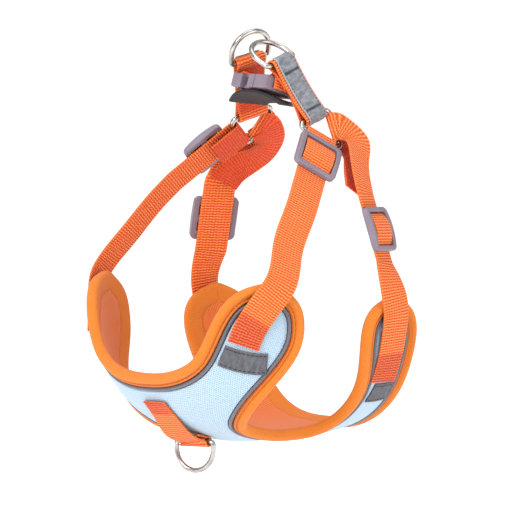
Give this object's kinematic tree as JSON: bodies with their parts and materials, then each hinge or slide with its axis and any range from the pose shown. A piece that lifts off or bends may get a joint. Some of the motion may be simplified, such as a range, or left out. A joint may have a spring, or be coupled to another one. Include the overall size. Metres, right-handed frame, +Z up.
{
  "type": "dog harness",
  "caption": "Padded vest harness for a small dog with webbing straps, sliders, a side release buckle on the back, leash rings and a chest ring.",
  "frame": {"origin": "middle of the dog's chest, in the middle of the vest's torso opening", "axes": "+Z up towards the dog's back, +X towards the dog's left, -Y towards the dog's head"},
  "size_m": [0.1712, 0.1428, 0.2519],
  "materials": {
    "mesh_fabric": "fine air mesh",
    "lining": "smooth knit",
    "edge_roll": "padded knit mesh",
    "piping": "satin woven binding",
    "patch": "soft matte grain",
    "webbing": "ribbed webbing",
    "plastic": "fine matte",
    "wire": "polished nickel",
    "tab_leather": "brushed suede",
    "back_pad": "woven"
  },
  "bodies": {
    "vest": {"back_pad": "back_pad", "buckle_leaf_right": "webbing", "buckle_socket": "plastic", "chest_loop": "webbing", "front_patch_left": "patch", "front_patch_right": "patch", "front_strap_lower_left": "webbing", "front_strap_lower_right": "webbing", "front_strap_upper_right": "webbing", "girth_strap_lower_left": "webbing", "girth_strap_lower_right": "webbing", "girth_strap_upper_left": "webbing", "girth_strap_upper_right": "webbing", "leg_left_piping": "piping", "leg_left_roll": "edge_roll", "leg_right_piping": "piping", "leg_right_roll": "edge_roll", "neck_piping": "piping", "neck_roll": "edge_roll", "rear_patch_left": "patch", "rear_patch_right": "patch", "rear_piping": "piping", "rear_roll": "edge_roll", "strap_ring_right": "wire", "tab_cover_right": "tab_leather", "tab_webbing_right": "webbing", "vest_lining": "lining", "vest_panel": "mesh_fabric"},
    "left_top": {"front_strap_upper_left": "webbing", "strap_ring_left": "wire", "tab_webbing_left": "webbing", "tab_cover_left": "tab_leather", "buckle_leaf_left": "webbing", "buckle_plug": "plastic"},
    "latch_rear": {"buckle_latch_rear": "plastic"},
    "latch_front": {"buckle_latch_front": "plastic"},
    "leash_ring_left": {"leash_ring_left": "wire"},
    "leash_ring_right": {"leash_ring_right": "wire"},
    "chest_ring": {"chest_ring": "wire"},
    "front_slider_left": {"front_slider_left": "plastic", "front_slider_wrap_left": "webbing"},
    "front_slider_right": {"front_slider_right": "plastic", "front_slider_wrap_right": "webbing"},
    "girth_slider_left": {"girth_slider_left": "plastic", "girth_slider_wrap_left": "webbing"},
    "girth_slider_right": {"girth_slider_right": "plastic", "girth_slider_wrap_right": "webbing"}
  },
  "joints": [
    {"name": "buckle_release", "type": "slide", "parent": "vest", "child": "left_top", "axis": [1, 0, 0], "range_m": [0, 0.012], "deforming": ["front_strap_lower_left", "girth_strap_upper_left"]},
    {"name": "latch_rear_squeeze", "type": "hinge", "parent": "left_top", "child": "latch_rear", "pos_m": [0.004, 0.01816, 0.11088], "axis": [0, 0.3102, 0.9507], "range_deg": [0, 6], "stiffness_Nm_per_rad": 0.05},
    {"name": "latch_front_squeeze", "type": "hinge", "parent": "left_top", "child": "latch_front", "pos_m": [0.004, 0.00333, 0.11572], "axis": [0, 0.3102, 0.9507], "range_deg": [-6, 0], "stiffness_Nm_per_rad": 0.05},
    {"name": "leash_ring_left_swing", "type": "hinge", "parent": "left_top", "child": "leash_ring_left", "pos_m": [0.014, 0.0102, 0.128], "axis": [-0.2, 0.95, 0.24], "range_deg": [0, 60]},
    {"name": "leash_ring_right_swing", "type": "hinge", "parent": "vest", "child": "leash_ring_right", "pos_m": [-0.014, 0.0102, 0.128], "axis": [0.2, 0.95, 0.24], "range_deg": [-45, 15]},
    {"name": "chest_ring_swing", "type": "hinge", "parent": "vest", "child": "chest_ring", "pos_m": [0, -0.042, -0.0874], "axis": [0.9511, 0.309, 0], "range_deg": [-40, 20]},
    {"name": "front_slider_left_adjust", "type": "slide", "parent": "left_top", "child": "front_slider_left", "axis": [0.4528, -0.6292, -0.6317], "range_m": [-0.001, 0.01]},
    {"name": "front_slider_right_adjust", "type": "slide", "parent": "vest", "child": "front_slider_right", "axis": [-0.4528, -0.6292, -0.6317], "range_m": [-0.001, 0.01]},
    {"name": "girth_slider_left_adjust", "type": "slide", "parent": "vest", "child": "girth_slider_left", "axis": [0.308, 0.09, -0.9471], "range_m": [-0.004, 0.004]},
    {"name": "girth_slider_right_adjust", "type": "slide", "parent": "vest", "child": "girth_slider_right", "axis": [-0.308, 0.09, -0.9471], "range_m": [-0.004, 0.004]}
  ],
  "couplings": [
    {"joint": "latch_front_squeeze", "follows": "latch_rear_squeeze", "ratio": -1}
  ]
}
